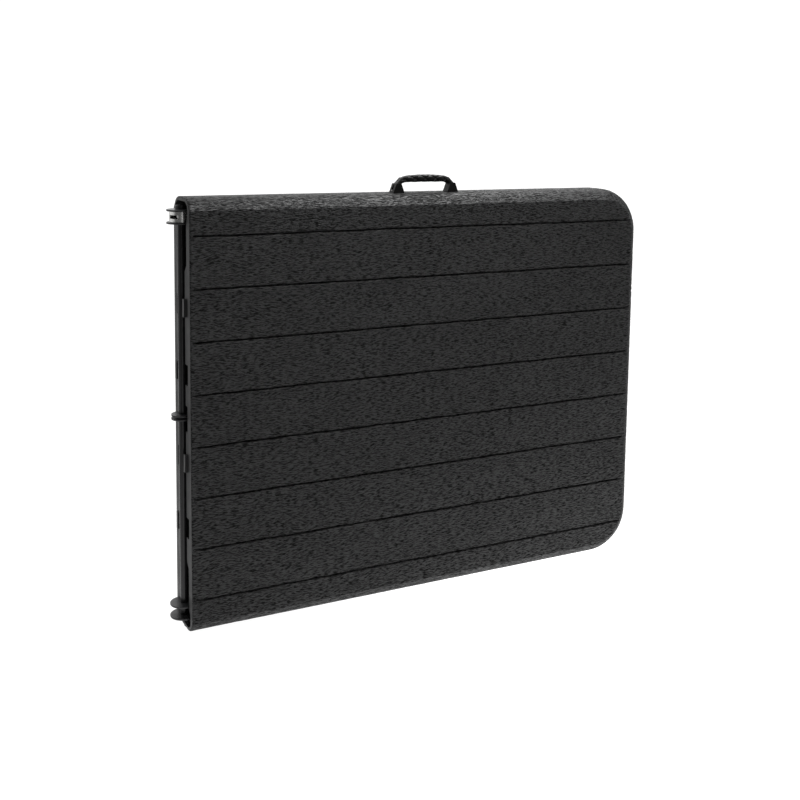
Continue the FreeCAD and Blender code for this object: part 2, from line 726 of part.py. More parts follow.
def all_parts():
    parts = {}
    for side, plan in (("near", NEAR_LEG), ("far", FAR_LEG)):
        for name, shape in half_parts(plan).items():
            parts[side + "_" + name] = turned_over(shape) if side == "far" else shape
    screws = group([handle_screw(side) for side in (-1, 1)])
    parts["near_tabletop"] = parts["near_tabletop"].cut(screws)
    parts["hinge_rod"] = hinge_rod()
    parts["hinge_rod_collars"] = rod_collars()
    parts["hinge_bracket"] = hinge_bracket()
    strap = handle_strap()
    surface = parts["near_tabletop"]
    parts["handle_strap"] = strap
    parts["handle_grip"] = handle_grip()
    parts["handle_feet"] = group([handle_foot(side, surface, strap) for side in (-1, 1)])
    parts["handle_screws"] = screws
    return parts


def main():
    os.makedirs("parts", exist_ok=True)
    for name, shape in all_parts().items():
        shape.exportStep("parts/" + name + ".step")
        print(name, len(shape.Solids), "valid" if shape.isValid() else "INVALID",
              round(shape.Volume / 1000.0, 1))


main()
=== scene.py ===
import math

import bmesh
import bpy
import numpy as np
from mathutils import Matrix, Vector


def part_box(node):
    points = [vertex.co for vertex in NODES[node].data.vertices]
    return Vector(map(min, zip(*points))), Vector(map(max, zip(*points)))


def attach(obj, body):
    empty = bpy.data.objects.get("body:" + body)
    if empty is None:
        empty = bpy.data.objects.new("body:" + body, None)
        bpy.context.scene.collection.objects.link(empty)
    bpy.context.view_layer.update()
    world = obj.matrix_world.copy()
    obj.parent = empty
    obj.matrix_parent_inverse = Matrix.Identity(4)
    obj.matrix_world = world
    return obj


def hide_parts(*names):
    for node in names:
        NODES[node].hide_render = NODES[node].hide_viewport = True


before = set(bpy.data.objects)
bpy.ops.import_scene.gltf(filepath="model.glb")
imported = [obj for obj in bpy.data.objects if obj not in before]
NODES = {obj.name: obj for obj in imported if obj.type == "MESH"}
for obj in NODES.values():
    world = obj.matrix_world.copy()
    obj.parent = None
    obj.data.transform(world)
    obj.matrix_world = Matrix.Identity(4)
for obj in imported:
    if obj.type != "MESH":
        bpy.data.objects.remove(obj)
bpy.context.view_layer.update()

MM = 0.001
MM_PER_M = 1000

# Outer form of one half, in millimetres, in the near half's own frame.
WIDTH = 740.0
FOLD_FACE_X = -448.6
TAB_TIP_X = -453.5          # the tabs of the fold end stop here
OUTER_X = 473.0
FACE_Y = -47.0
EDGE_Y = -17.0
EDGE_DEPTH = 30.0
EDGE_RADIUS = 28.0
EDGE_TURN = math.radians(52.0)
ROUND_DEPTH = EDGE_RADIUS * math.sin(EDGE_TURN)
ROUND_DROP = EDGE_RADIUS * (1 - math.cos(EDGE_TURN))
EDGE_DROP = ROUND_DROP + (EDGE_DEPTH - ROUND_DEPTH) * math.tan(EDGE_TURN)
CORNER_RADIUS = 85.0
CREASE_RADIUS = CORNER_RADIUS - EDGE_DROP
CORNER_X = OUTER_X - CORNER_RADIUS
GROOVES = [62.0 + 88.0 * k for k in range(8)]
GROOVE_START_X = -442.0
GROOVE_END_X = 445.0
GROOVE_HALF = 2.3
GROOVE_DEPTH = 5.0
SLOW_WANDER = (1.1, 46.0)   # size and wavelength of a groove's sideways wander
QUICK_WANDER = (0.8, 9.0)
WANDER_REACH = 7.0          # the face beside a groove follows it this far
LEDGE_REACH = 2.6           # the grain dies away from here towards a groove
LEDGE_CLEAR = 1.2           # and is nearly gone here
FOLD_ROUND = 3.0            # the skin rounds over this far from the fold end
FOLD_ROUND_DEPTH = 2.6
FADE_START = 1.0            # the grain fades in between these, from the fold end
FADE_END = 9.0
RIM_FADE = 6.0              # the grain fades out this far from the rim
EDGE_RELIEF = 0.8           # relief of the edge band, as a share of the face's

# How finely the skin is divided.
ROW_STEP = 1.65
COLUMN_STEP = 5.2
TURN_STEP = 0.05
FOLD_COLUMNS = (0.0, 0.35, 1.0, 2.0, 3.6)
GROOVE_ROWS = (-1.4, -1.0, -0.55, -0.2, 0.2, 0.55, 1.0, 1.4)   # in half widths
GROOVE_CLEARANCE = 1.9      # in half widths
BEVEL_STEPS = 6
ROUND_STEPS = 9
SIDE_RINGS_Y = (-13.5, -9.5, -6.0, -3.0, -1.0, 0.0)

# Taking the CAD skin off and stitching the new one on.
WELD = 0.002
ON_PLANE = 0.02
FACING = 0.99
FACE_HOLLOW = 2.4
OUTLINE_NEAR = 0.4
BAND_NEAR = 0.5
BEVEL_NEAR = 0.6
SHARP_TURN = 0.5
SKIN, INSIDE = 0, 1         # material slots of a tabletop
NEAR_SEED, FAR_SEED = 11, 47


# ---------------------------------------------------------------- noise

class Noise:
    """Smooth value noise on a fixed random lattice."""

    SIZE = 256

    def __init__(self, seed):
        self.table = np.random.default_rng(seed).random((self.SIZE, self.SIZE))

    def __call__(self, u, v):
        u = np.asarray(u, float)
        v = np.asarray(v, float)
        iu = np.floor(u).astype(int)
        iv = np.floor(v).astype(int)
        fu = u - iu
        fv = v - iv
        fu = fu * fu * (3 - 2 * fu)
        fv = fv * fv * (3 - 2 * fv)
        left, right = iu % self.SIZE, (iu + 1) % self.SIZE
        low, high = iv % self.SIZE, (iv + 1) % self.SIZE
        a = self.table[left, low]
        b = self.table[right, low]
        c = self.table[left, high]
        d = self.table[right, high]
        return (a * (1 - fu) + b * fu) * (1 - fv) + (c * (1 - fu) + d * fu) * fv


def smooth(value, low, high):
    t = np.clip((value - low) / (high - low), 0.0, 1.0)
    return t * t * (3 - 2 * t)


class WoodRelief:
    """Depth of the moulded wood grain at a point of the unrolled skin."""

    # Length and height of each pattern's cells, and where its lattice starts.
    SWIRL = (80.0, 43.0, 40)
    BEND = (25.0, 17.0, 40)
    CALM = (120.0, 41.0, 9)
    GATE = (12.0, 4.6, 70)
    DASH = (9.0, 3.2, 90)
    FINE = (20.0, 3.6, 20)
    SWIRL_HEIGHT = 17.0
    BEND_HEIGHT = 6.0
    RIDGE_PITCH = 5.8

    def __init__(self, seed):
        self.swirl = Noise(seed)
        self.bend = Noise(seed + 1)
        self.gate = Noise(seed + 2)
        self.dash = Noise(seed + 3)
        self.calm = Noise(seed + 4)
        self.fine = Noise(seed + 5)

    @staticmethod
    def sample(noise, cells, x, z):
        long, tall, start = cells
        return noise(x / long + start, z / tall + start)

    def depth(self, x, z):
        swirl = self.SWIRL_HEIGHT * (self.sample(self.swirl, self.SWIRL, x, z) - 0.5)
        bend = self.BEND_HEIGHT * (self.sample(self.bend, self.BEND, x, z) - 0.5)
        line = z + swirl + bend
        ridge = (0.5 + 0.5 * np.sin(2 * math.pi * line / self.RIDGE_PITCH)) ** 1.5
        calm = 0.45 + 0.55 * smooth(self.sample(self.calm, self.CALM, x, z), 0.25, 0.7)
        gate = smooth(self.sample(self.gate, self.GATE, x, line), 0.25, 0.65)
        dash = self.sample(self.dash, self.DASH, x, line)
        fine = self.sample(self.fine, self.FINE, x, line)
        return calm * (0.85 * ridge * gate + 0.40 * dash) + 0.20 * fine


# ------------------------------------------------------- tabletop skins

def skin_rows():
    """Heights of the rows across the front face, between the two creases."""
    rows = [0.0]
    turn = 0.0
    while rows[-1] < CREASE_RADIUS:
        turn += TURN_STEP
        height = CREASE_RADIUS * (1 - math.cos(turn))
        if height - rows[-1] > ROW_STEP:
            break
        rows.append(height)
    low = np.array(rows) + EDGE_DROP
    high = WIDTH - low[::-1]
    count = int(round((high[0] - low[-1]) / ROW_STEP))
    middle = np.linspace(low[-1], high[0], count + 1)[1:-1]
    rows = np.concatenate([low, middle, high])
    offsets = np.array(GROOVE_ROWS) * GROOVE_HALF
    for centre in GROOVES:
        rows = rows[abs(rows - centre) > GROOVE_CLEARANCE * GROOVE_HALF]
        rows = np.concatenate([rows, centre + offsets])
    return np.sort(rows)


def crease_end(z):
    """How far the flat front reaches towards the outer end at height z."""
    into_corner = np.maximum(0.0, np.maximum(CORNER_RADIUS - z, z - WIDTH + CORNER_RADIUS))
    return CORNER_X + np.sqrt(np.maximum(0.0, CREASE_RADIUS ** 2 - into_corner ** 2))


def fold_fade(x, least):
    """Share of the grain's relief: the least at the fold end, then all of it."""
    return least + (1 - least) * smooth(x, FOLD_FACE_X + FADE_START, FOLD_FACE_X + FADE_END)


def fold_rounding(x):
    """How far the skin draws in where it turns over the fold end."""
    inward = np.clip(FOLD_ROUND - (x - FOLD_FACE_X), 0, FOLD_ROUND) / FOLD_ROUND
    return FOLD_ROUND_DEPTH * (1 - np.sqrt(np.maximum(0.0, 1 - inward ** 2)))


def groove_line(x, index, wander):
    """Sideways wander of a groove along its length."""
    along, across = 11 * index, 3.3 * index
    slow = SLOW_WANDER[0] * (wander(x / SLOW_WANDER[1] + along, across) - 0.5)
    quick = QUICK_WANDER[0] * (wander(x / QUICK_WANDER[1] + along, 50 + across) - 0.5)
    return slow + quick


def front_grid(relief, wander):
    """Points of the front face: x, y and z, row by row."""
    rows = skin_rows()
    start = np.array(FOLD_COLUMNS)
    full = OUTER_X - EDGE_DROP - FOLD_FACE_X
    count = int(round((full - start[-1]) / COLUMN_STEP))
    columns = np.concatenate([start, np.linspace(start[-1], full, count + 1)[1:]]) / full
    z = np.repeat(rows[:, None], len(columns), 1)
    x = FOLD_FACE_X + columns[None, :] * (crease_end(z) - FOLD_FACE_X)
    groove = np.zeros_like(z)
    clear = np.ones_like(z)
    shift = np.zeros_like(z)
    for index, centre in enumerate(GROOVES):
        away = z - centre
        near = smooth(-abs(away), -WANDER_REACH, -LEDGE_REACH)
        shift += near * groove_line(x, index, wander)
        strength = 0.62 + 0.75 * wander(x / 7.0 + 31 * index, 80 + 5.0 * index)
        profile = smooth(-abs(away) / GROOVE_HALF, -1.0, -0.15) * np.clip(strength, 0.65, 1.15)
        inside = smooth(x, GROOVE_START_X - 2, GROOVE_START_X + 4) \
            * smooth(-x, -GROOVE_END_X - 2, -GROOVE_END_X + 4)
        groove += profile * inside * GROOVE_DEPTH
        clear *= 1 - 0.8 * smooth(-abs(away), -LEDGE_REACH, -LEDGE_CLEAR) * inside
    z = z + shift
    depth = relief.depth(x, z) * clear * fold_fade(x, 0.15) + groove
    depth += fold_rounding(x)
    return x, FACE_Y + depth, z


def edge_rings():
    """(distance outwards from the crease, y, tilt, arc length) of each ring."""
    bevel_out = EDGE_DROP - ROUND_DROP
    bevel_back = EDGE_DEPTH - ROUND_DEPTH
    bevel_length = math.hypot(bevel_out, bevel_back)
    rings = []
    for k in range(1, BEVEL_STEPS + 1):
        t = k / BEVEL_STEPS
        rings.append((bevel_out * t, FACE_Y + bevel_back * t, EDGE_TURN, bevel_length * t))
    for k in range(1, ROUND_STEPS + 1):
        tilt = EDGE_TURN * (1 - k / ROUND_STEPS)
        out = EDGE_DROP - EDGE_RADIUS * (1 - math.cos(tilt))
        length = bevel_length + EDGE_RADIUS * (EDGE_TURN - tilt)
        rings.append((out, EDGE_Y - EDGE_RADIUS * math.sin(tilt), tilt, length))
    length = bevel_length + EDGE_RADIUS * EDGE_TURN
    for y in SIDE_RINGS_Y:
        rings.append((EDGE_DROP, y, 0.0, length + y - EDGE_Y))
    return rings


def skin_mesh(seed):
    """Vertices and quads of the outer skin, and its loops at the rim and the fold end."""
    relief = WoodRelief(seed)
    wander = Noise(seed + 9)
    x, y, z = front_grid(relief, wander)
    rows, columns = x.shape
    points = [np.stack([x, y, z], -1).reshape(-1, 3)]
    index = np.arange(rows * columns).reshape(rows, columns)
    quads = [np.stack([index[:-1, :-1], index[:-1, 1:], index[1:, 1:], index[1:, :-1]],
                      -1).reshape(-1, 4)]
    loop = np.concatenate([index[0, :-1], index[:, -1], index[-1, -2::-1]])
    rim = points[0][loop]
    flat_x = np.concatenate([x[0, :-1], crease_end(z[:, -1]), x[-1, -2::-1]])
    centre_z = np.clip(rim[:, 2], CORNER_RADIUS, WIDTH - CORNER_RADIUS)
    out = np.stack([np.maximum(flat_x - CORNER_X, 0.0), rim[:, 2] - centre_z], -1)
    straight = flat_x < CORNER_X
    out[straight, 0] = 0.0
    out /= np.linalg.norm(out, axis=1)[:, None]
    fade_x = fold_fade(rim[:, 0], 0.1)
    round_in = fold_rounding(rim[:, 0])
    previous = loop
    rings = [loop]
    base = rows * columns
    for away, ring_y, tilt, length in edge_rings():
        px = flat_x + out[:, 0] * away
        pz = rim[:, 2] + out[:, 1] * away
        wood = relief.depth(flat_x + out[:, 0] * length, rim[:, 2] + out[:, 1] * length)
        fade = smooth(-ring_y, 0.0, RIM_FADE)
        dent = (wood * EDGE_RELIEF * fade_x + round_in) * fade
        px = px - out[:, 0] * math.cos(tilt) * dent
        pz = pz - out[:, 1] * math.cos(tilt) * dent
        py = ring_y + math.sin(tilt) * dent
        px[[0, -1]] = FOLD_FACE_X
        points.append(np.stack([px, py, pz], -1))
        ring = base + np.arange(len(loop))
        base += len(loop)
        quads.append(np.stack([previous[:-1], ring[:-1], ring[1:], previous[1:]], -1))
        previous = ring
        rings.append(ring)
    low_end = [ring[0] for ring in rings]
    high_end = [ring[-1] for ring in rings]
    end_loop = low_end[::-1] + list(index[1:, 0]) + high_end[1:]
    return np.concatenate(points), np.concatenate(quads), previous, end_loop


def inward_distance(x, z):
    """Distance in from the outline, not counting the fold end."""
    if x > CORNER_X and (z < CORNER_RADIUS or z > WIDTH - CORNER_RADIUS):
        centre_z = CORNER_RADIUS if z < CORNER_RADIUS else WIDTH - CORNER_RADIUS
        return CORNER_RADIUS - math.hypot(x - CORNER_X, z - centre_z)
    return min(z, WIDTH - z, OUTER_X - x)


def cad_face_group(face):
    """Which part of a CAD tabletop a face is: skin, rim, end, or the inside."""
    centre = face.calc_center_median()
    normal = face.normal
    if abs(centre.x - FOLD_FACE_X) < ON_PLANE and abs(normal.x) > FACING:
        return "end"
    if abs(centre.y) < ON_PLANE and normal.y > FACING:
        return "rim"
    if centre.y < FACE_Y + FACE_HOLLOW:
        return "skin"
    inward = inward_distance(centre.x, centre.z)
    if inward < OUTLINE_NEAR:
        return "skin"
    if inward < EDGE_DROP + BAND_NEAR and centre.y < EDGE_Y:
        radial = math.hypot(EDGE_RADIUS - inward, centre.y - EDGE_Y)
        if abs(radial - EDGE_RADIUS) < BAND_NEAR:
            return "skin"
        along = (inward - ROUND_DROP) / math.tan(EDGE_TURN)
        if abs(EDGE_Y - ROUND_DEPTH - along - centre.y) < BEVEL_NEAR:
            return "skin"
    return "inside"


def edges_to_keep(bm):
    """Border edges of the rim and the end, then the edges and faces that go."""
    groups = {face: cad_face_group(face) for face in bm.faces}
    rim = []
    end = []
    drop = []
    for edge in bm.edges:
        linked = {groups[face] for face in edge.link_faces}
        if "skin" in linked or linked == {"rim"} or linked == {"end"}:
            if "inside" not in linked:
                drop.append(edge)
            continue
        if "rim" in linked:
            rim.append(edge)
        if "end" in linked:
            end.append(edge)
    gone = [face for face in bm.faces if groups[face] != "inside"]
    return rim, end, drop, gone


def turn_over(bm):
    """Half a turn about the long axis, which takes each half onto the other."""
    for vert in bm.verts:
        vert.co = Vector((vert.co.x, -vert.co.y, WIDTH - vert.co.z))


def remove_loose_cups(bm):
    """Keeps the largest connected shell: drops holes the new skin covers."""
    seen = set()
    keep = set()
    for start in bm.faces:
        if start in seen:
            continue
        stack = [start]
        seen.add(start)
        island = []
        while stack:
            face = stack.pop()
            island.append(face)
            for edge in face.edges:
                for other in edge.link_faces:
                    if other not in seen:
                        seen.add(other)
                        stack.append(other)
        if len(island) > len(keep):
            keep = set(island)
    bmesh.ops.delete(bm, geom=[f for f in bm.faces if f not in keep], context="FACES")
    loose = [v for v in bm.verts if not v.link_faces]
    bmesh.ops.delete(bm, geom=loose, context="VERTS")


def build_tabletop(node, body, seed, turned):
    """A tabletop half with a new outer skin, stitched to the CAD's inner shell."""
    bm = bmesh.new()
    bm.from_mesh(NODES[node].data)
    bmesh.ops.scale(bm, vec=(MM_PER_M, MM_PER_M, MM_PER_M), verts=bm.verts)
    bmesh.ops.remove_doubles(bm, verts=bm.verts, dist=WELD)
    if turned:
        turn_over(bm)
    for vert in bm.verts:
        vert.co.x = max(vert.co.x, TAB_TIP_X)
    bm.normal_update()
    rim, end, drop, gone = edges_to_keep(bm)
    bmesh.ops.delete(bm, geom=gone, context="FACES_ONLY")
    bmesh.ops.delete(bm, geom=drop, context="EDGES")
    rim = [e for e in rim if e.is_valid]
    end = [e for e in end if e.is_valid]
    for face in bm.faces:
        face.material_index = INSIDE
    points, quads, rim_loop, end_loop = skin_mesh(seed)
    verts = [None] * len(points)
    fixed = {v for e in rim + end for v in e.verts}
    for corner in (rim_loop[0], rim_loop[-1]):
        place = Vector(points[corner])
        verts[corner] = min(fixed, key=lambda v: (v.co - place).length)
    for i, p in enumerate(points.tolist()):
        if verts[i] is None:
            verts[i] = bm.verts.new(p)
    for quad in quads.tolist():
        bm.faces.new([verts[i] for i in quad]).material_index = SKIN
    new_rim = [bm.edges.get((verts[a], verts[b])) for a, b in zip(rim_loop[:-1], rim_loop[1:])]
    new_end = [bm.edges.get((verts[a], verts[b])) for a, b in zip(end_loop[:-1], end_loop[1:])]
    rim_edges = [e for e in rim + new_rim if e is not None and e.is_valid]
    end_edges = [e for e in end + new_end if e is not None and e.is_valid]
    for edges, way in ((rim_edges, Vector((0, 1, 0))), (end_edges, Vector((-1, 0, 0)))):
        filled = bmesh.ops.triangle_fill(bm, edges=list(set(edges)), normal=way)
        for made in filled["geom"]:
            if isinstance(made, bmesh.types.BMFace):
                made.material_index = INSIDE
    remove_loose_cups(bm)
    bmesh.ops.recalc_face_normals(bm, faces=bm.faces)
    for face in bm.faces:
        face.smooth = True
    for edge in bm.edges:
        kinds = {face.material_index for face in edge.link_faces}
        if kinds == {SKIN}:
            continue
        if (kinds == {SKIN, INSIDE} or len(edge.link_faces) != 2
                or edge.calc_face_angle(0) > SHARP_TURN):
            edge.smooth = False
    if turned:
        turn_over(bm)
    bmesh.ops.scale(bm, vec=(MM, MM, MM), verts=bm.verts)
    mesh = bpy.data.meshes.new(node + "_moulded")
    bm.to_mesh(mesh)
    bm.free()
    piece = bpy.data.objects.new(node + "_moulded", mesh)
    bpy.context.scene.collection.objects.link(piece)
    mesh.materials.append(MATERIALS["woodgrain"])
    mesh.materials.append(MATERIALS["pebble"])
    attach(piece, body)
    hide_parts(node)


# ------------------------------------------------------------ materials

def new_material(name):
    material = bpy.data.materials.new(name)
    material.use_nodes = True
    tree = material.node_tree
    shader = tree.nodes["Principled BSDF"]
    return material, tree, shader


def link(tree, source, target):
    tree.links.new(source, target)


def stretched_noise(tree, scale, stretch, detail=4.0):
    """A noise pattern in object space, stretched along each axis."""
    place = tree.nodes.new("ShaderNodeTexCoord")
    mapping = tree.nodes.new("ShaderNodeMapping")
    mapping.inputs["Scale"].default_value = stretch
    noise = tree.nodes.new("ShaderNodeTexNoise")
    noise.inputs["Scale"].default_value = scale
    noise.inputs["Detail"].default_value = detail
    noise.inputs["Roughness"].default_value = 0.55
    link(tree, place.outputs["Object"], mapping.inputs["Vector"])
    link(tree, mapping.outputs["Vector"], noise.inputs["Vector"])
    return noise.outputs["Fac"]


def spread(tree, value, low, high, to_low, to_high):
    node = tree.nodes.new("ShaderNodeMapRange")
    node.inputs["From Min"].default_value = low
    node.inputs["From Max"].default_value = high
    node.inputs["To Min"].default_value = to_low
    node.inputs["To Max"].default_value = to_high
    link(tree, value, node.inputs["Value"])
    return node.outputs["Result"]


def shade_mix(tree, value, dark, light, low=0.3, high=0.7):
    ramp = tree.nodes.new("ShaderNodeValToRGB")
    ramp.color_ramp.elements[0].position = low
    ramp.color_ramp.elements[0].color = (*dark, 1)
    ramp.color_ramp.elements[1].position = high
    ramp.color_ramp.elements[1].color = (*light, 1)
    link(tree, value, ramp.inputs["Fac"])
    return ramp.outputs["Color"]


def bump(tree, height, distance, strength=1.0, under=None):
    node = tree.nodes.new("ShaderNodeBump")
    node.inputs["Distance"].default_value = distance
    node.inputs["Strength"].default_value = strength
    link(tree, height, node.inputs["Height"])
    if under is not None:
        link(tree, under, node.inputs["Normal"])
    return node.outputs["Normal"]


def surface(name, dark, light, rough, metal=0.0, specular=0.5, tone=(30, (1, 1, 1)),
            grain=(900, (1, 1, 1)), height=0.00008, coat=0.0):
    """A finish with its own tone variation, roughness variation and relief."""
    material, tree, shader = new_material(name)
    tone_value = stretched_noise(tree, tone[0], tone[1])
    link(tree, shade_mix(tree, tone_value, dark, light), shader.inputs["Base Color"])
    patch = stretched_noise(tree, tone[0] * 2.3, tone[1], 3.0)
    link(tree, spread(tree, patch, 0.3, 0.7, rough[0], rough[1]), shader.inputs["Roughness"])
    fine = stretched_noise(tree, grain[0], grain[1], 3.0)
    link(tree, bump(tree, fine, height), shader.inputs["Normal"])
    shader.inputs["Metallic"].default_value = metal
    shader.inputs["Specular IOR Level"].default_value = specular
    shader.inputs["Coat Weight"].default_value = coat
    shader.inputs["Coat Roughness"].default_value = 0.2
    return material


def math_node(tree, operation, first, second=None):
    node = tree.nodes.new("ShaderNodeMath")
    node.operation = operation
    for socket, value in zip(node.inputs, (first, second)):
        if isinstance(value, (int, float)):
            socket.default_value = value
        elif value is not None:
            link(tree, value, socket)
    return node.outputs[0]


def swept_place(tree, reach):
    """Object coordinates whose height rises and falls with the sweep of the grain."""
    place = tree.nodes.new("ShaderNodeTexCoord")
    split = tree.nodes.new("ShaderNodeSeparateXYZ")
    join = tree.nodes.new("ShaderNodeCombineXYZ")
    link(tree, place.outputs["Object"], split.inputs[0])
    wide = stretched_noise(tree, 11.0, (1, 1, 2.0), 1.0)
    bend = stretched_noise(tree, 34.0, (1, 1, 1.5), 1.0)
    wave = math_node(tree, "ADD", math_node(tree, "MULTIPLY", wide, reach),
                     math_node(tree, "MULTIPLY", bend, reach * 0.36))
    link(tree, split.outputs["X"], join.inputs["X"])
    link(tree, split.outputs["Y"], join.inputs["Y"])
    link(tree, math_node(tree, "ADD", split.outputs["Z"], wave), join.inputs["Z"])
    return join.outputs[0]


def grain_streaks(tree, place, long, tall, share):
    """Streaks along the grain, with the given cell length and height."""
    mapping = tree.nodes.new("ShaderNodeMapping")
    mapping.inputs["Scale"].default_value = (1 / long, 1 / tall, 1 / tall)
    noise = tree.nodes.new("ShaderNodeTexNoise")
    noise.inputs["Scale"].default_value = 1.0
    noise.inputs["Detail"].default_value = 1.0
    noise.inputs["Roughness"].default_value = 0.5
    link(tree, place, mapping.inputs["Vector"])
    link(tree, mapping.outputs["Vector"], noise.inputs["Vector"])
    return math_node(tree, "MULTIPLY", noise.outputs["Fac"], share)


GRAIN_SWEEP = 0.015                     # metres, like the streaks' lengths and heights
COARSE_STREAKS = (0.0100, 0.0015, 0.65)
FINE_STREAKS = (0.0050, 0.0010, 0.35)
CUT_BELOW, FACE_ABOVE = 0.41, 0.57
# Near black in the cuts is painted shade: it stands for the shade that falls into the grain's
# cuts.
CUT_PAINTED_SHADE = (0.0008, 0.0008, 0.0008)
FACE_COLOUR = (0.030, 0.0302, 0.0306)
CUT_RELIEF = 0.0007
PORE_RELIEF = 0.00010


def woodgrain_material():
    """Black plastic with fine cuts along the grain, coloured near black as painted shade in the
    cuts.
    """
    material, tree, shader = new_material("woodgrain_plastic")
    place = swept_place(tree, GRAIN_SWEEP)
    streaks = math_node(tree, "ADD", grain_streaks(tree, place, *COARSE_STREAKS),
                        grain_streaks(tree, place, *FINE_STREAKS))
    cuts = spread(tree, streaks, CUT_BELOW, FACE_ABOVE, 1.0, 0.0)
    tone = stretched_noise(tree, 9.0, (1, 1, 3.2), 5.0)
    # The cuts darken the colour as painted shade in the cuts; the tone adds random variation on
    # top.
    shade = math_node(tree, "ADD", spread(tree, cuts, 0, 1, 0.85, 0.0),
                      spread(tree, tone, 0.3, 0.7, 0.0, 0.15))
    color = shade_mix(tree, shade, CUT_PAINTED_SHADE, FACE_COLOUR, 0.0, 1.0)
    link(tree, color, shader.inputs["Base Color"])
    link(tree, spread(tree, cuts, 0, 1, 0.50, 0.72), shader.inputs["Roughness"])
    # Specular level drops in the cuts: painted shade, turning down reflection where the cuts would
    # shade it.
    link(tree, spread(tree, cuts, 0, 1, 0.46, 0.12), shader.inputs["Specular IOR Level"])
    pores = stretched_noise(tree, 900.0, (0.4, 0.4, 1.0), 2.0)
    hollow = math_node(tree, "MULTIPLY", cuts, -1.0)
    relief = bump(tree, hollow, CUT_RELIEF)
    link(tree, bump(tree, pores, PORE_RELIEF, 0.6, relief), shader.inputs["Normal"])
    return material


MATERIALS = {
    "woodgrain": woodgrain_material(),
    "pebble": surface("pebbled_plastic", (0.014, 0.014, 0.0145), (0.022, 0.022, 0.0225),
                      (0.48, 0.62), tone=(14, (1, 1, 1)), grain=(620, (1, 1, 1)), height=0.00022),
    "rail_steel": surface("powder_coated_rail", (0.016, 0.016, 0.017), (0.026, 0.026, 0.027),
                          (0.32, 0.46), grain=(1400, (1, 1, 1)), height=0.00006),
    "leg_tube_steel": surface("enamelled_tube", (0.014, 0.014, 0.015), (0.024, 0.024, 0.025),
                              (0.24, 0.36), grain=(1100, (1, 1, 1)), height=0.00004, coat=0.3),
    "rod_steel": surface("gloss_black_rod", (0.010, 0.010, 0.011), (0.020, 0.020, 0.021),
                         (0.20, 0.32), specular=0.35, tone=(60, (1, 1, 0.12)),
                         grain=(700, (1, 1, 0.08)), height=0.00003, coat=0.15),
    "hinge_steel": surface("dark_hinge_plate", (0.030, 0.030, 0.032), (0.055, 0.055, 0.057),
                           (0.28, 0.42), metal=0.35, grain=(1200, (1, 1, 1)), height=0.00004),
    "zinc_plate": surface("bright_zinc_plate", (0.88, 0.88, 0.86), (0.97, 0.97, 0.95),
                          (0.15, 0.28), metal=1.0, tone=(160, (1, 1, 1)),
                          grain=(500, (1, 1, 0.15)), height=0.00003),
    "zinc_hardware": surface("zinc_hardware", (0.46, 0.46, 0.45), (0.64, 0.64, 0.62),
                             (0.30, 0.46), metal=1.0, tone=(240, (1, 1, 1)),
                             grain=(900, (1, 1, 1)), height=0.00003),
    "cap_plastic": surface("cap_plastic", (0.018, 0.018, 0.018), (0.028, 0.028, 0.028),
                           (0.42, 0.55), grain=(1000, (1, 1, 1)), height=0.00006),
    "handle_plastic": surface("handle_plastic", (0.002, 0.002, 0.002), (0.005, 0.005, 0.005),
                              (0.44, 0.58), specular=0.22, grain=(900, (1, 1, 1)), height=0.00006),
    "handle_strap": surface("handle_strap", (0.012, 0.012, 0.012), (0.022, 0.022, 0.022),
                            (0.40, 0.55), tone=(80, (0.2, 1, 1)), grain=(700, (0.2, 1, 1)),
                            height=0.00010),
    "foot_rubber": surface("foot_rubber", (0.016, 0.016, 0.016), (0.026, 0.026, 0.026),
                           (0.55, 0.72), grain=(1300, (1, 1, 1)), height=0.00010),
}


# ----------------------------------------------------- smaller pieces

VERTEX_WELD = 2e-6                      # metres
COPLANAR_ANGLE = math.radians(1.5)
HARD_EDGE = 0.6                         # radians; sharper edges are rounded over
GRIP_HALF_HEIGHT = 7.25                 # the grip is in millimetres
GRIP_STEPS = 90                         # along half the grip
GRIP_SIDES = 64
GRIP_TAPER = 0.30
GRIP_END_RINGS = 7.0                    # the braid fades in over this many rings
GRIP_SQUARENESS = 0.75
GRIP_SKIN = 0.4
BRAID_LANES = 6
BRAID_TURNS = 17
BRAID_SLANT = 0.6
BRAID_GAP = 2.2
BRAID_CROWN = 0.4


def add_piece(name, mesh, body, node, slot, smooth_angle=math.radians(35)):
    piece = bpy.data.objects.new(name, mesh)
    bpy.context.scene.collection.objects.link(piece)
    mesh.materials.append(MATERIALS[slot])
    mesh.shade_smooth()
    mesh.set_sharp_from_angle(angle=smooth_angle)
    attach(piece, body)
    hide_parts(node)
    return piece


def softened(node, body, slot, width, segments=2):
    """The CAD piece with its hard edges rounded over."""
    bm = bmesh.new()
    bm.from_mesh(NODES[node].data)
    bmesh.ops.remove_doubles(bm, verts=bm.verts, dist=VERTEX_WELD)
    bmesh.ops.dissolve_limit(bm, angle_limit=COPLANAR_ANGLE, verts=bm.verts, edges=bm.edges,
                             delimit={"NORMAL"})
    sharp = [e for e in bm.edges if len(e.link_faces) == 2 and e.calc_face_angle(0) > HARD_EDGE]
    bmesh.ops.bevel(bm, geom=sharp, offset=width, segments=segments, profile=0.5,
                    affect="EDGES", clamp_overlap=True)
    mesh = bpy.data.meshes.new(node + "_eased")
    bm.to_mesh(mesh)
    bm.free()
    piece = add_piece(node + "_eased", mesh, body, node, slot)
    weighted = piece.modifiers.new("even_shading", "WEIGHTED_NORMAL")
    weighted.keep_sharp = True


